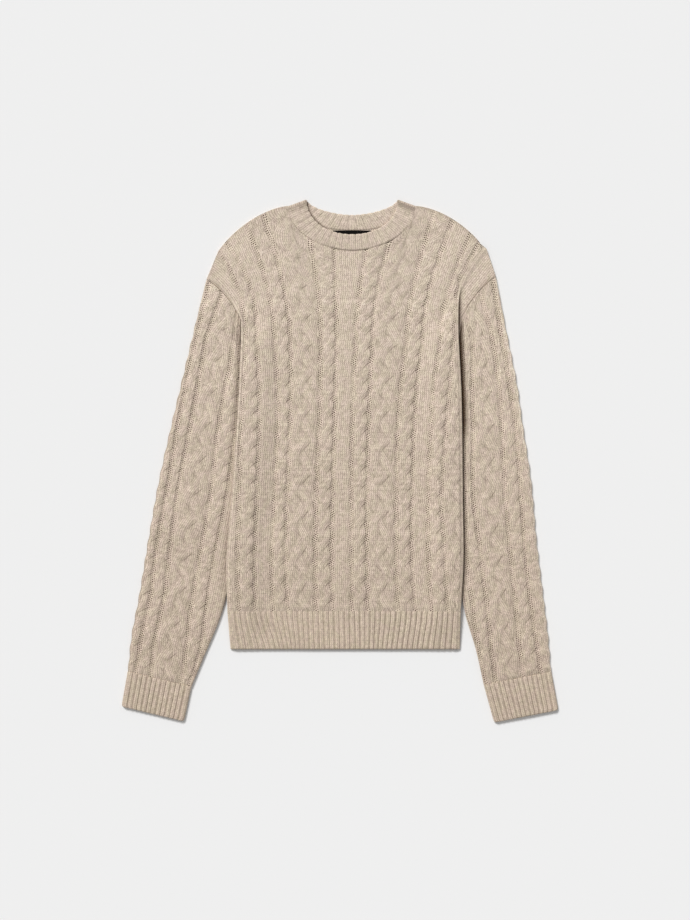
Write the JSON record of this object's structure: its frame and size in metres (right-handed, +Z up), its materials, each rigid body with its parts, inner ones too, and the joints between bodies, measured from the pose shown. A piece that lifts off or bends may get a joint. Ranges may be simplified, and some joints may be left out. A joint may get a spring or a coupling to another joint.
{
  "type": "cable knit sweater",
  "caption": "Crew neck cable knit sweater laid flat, with roped and plaited columns, ribbed neckband, cuffs and hem, and its sides turned under over the sleeves.",
  "frame": {"origin": "Middle of the laid outline, on the surface that the sweater lies on", "axes": "+X across the body towards the picture's right, +Y from the hem to the neck, +Z up from the surface"},
  "size_m": [0.6557, 0.7841, 0.0138],
  "materials": {
    "front_knit": "oat heather wool knit, roped and plaited",
    "back_knit": "oat heather wool knit, plain",
    "sleeve_knit": "oat heather wool knit, roped and plaited",
    "cuff_knit": "oat heather wool knit, ribbed",
    "hem_knit": "oat heather wool knit, ribbed",
    "hem_back_knit": "oat heather wool knit, ribbed",
    "neckband_knit": "oat heather wool knit, ribbed",
    "label_weave": "black woven tape, blank"
  },
  "bodies": {
    "root": {"front_panel": "front_knit", "back_panel": "back_knit", "sleeve_left": "sleeve_knit", "sleeve_right": "sleeve_knit", "cuff_left": "cuff_knit", "cuff_right": "cuff_knit", "hem_rib_front": "hem_knit", "hem_rib_back": "hem_back_knit", "neckband": "neckband_knit", "neck_label": "label_weave"}
  },
  "joints": []
}
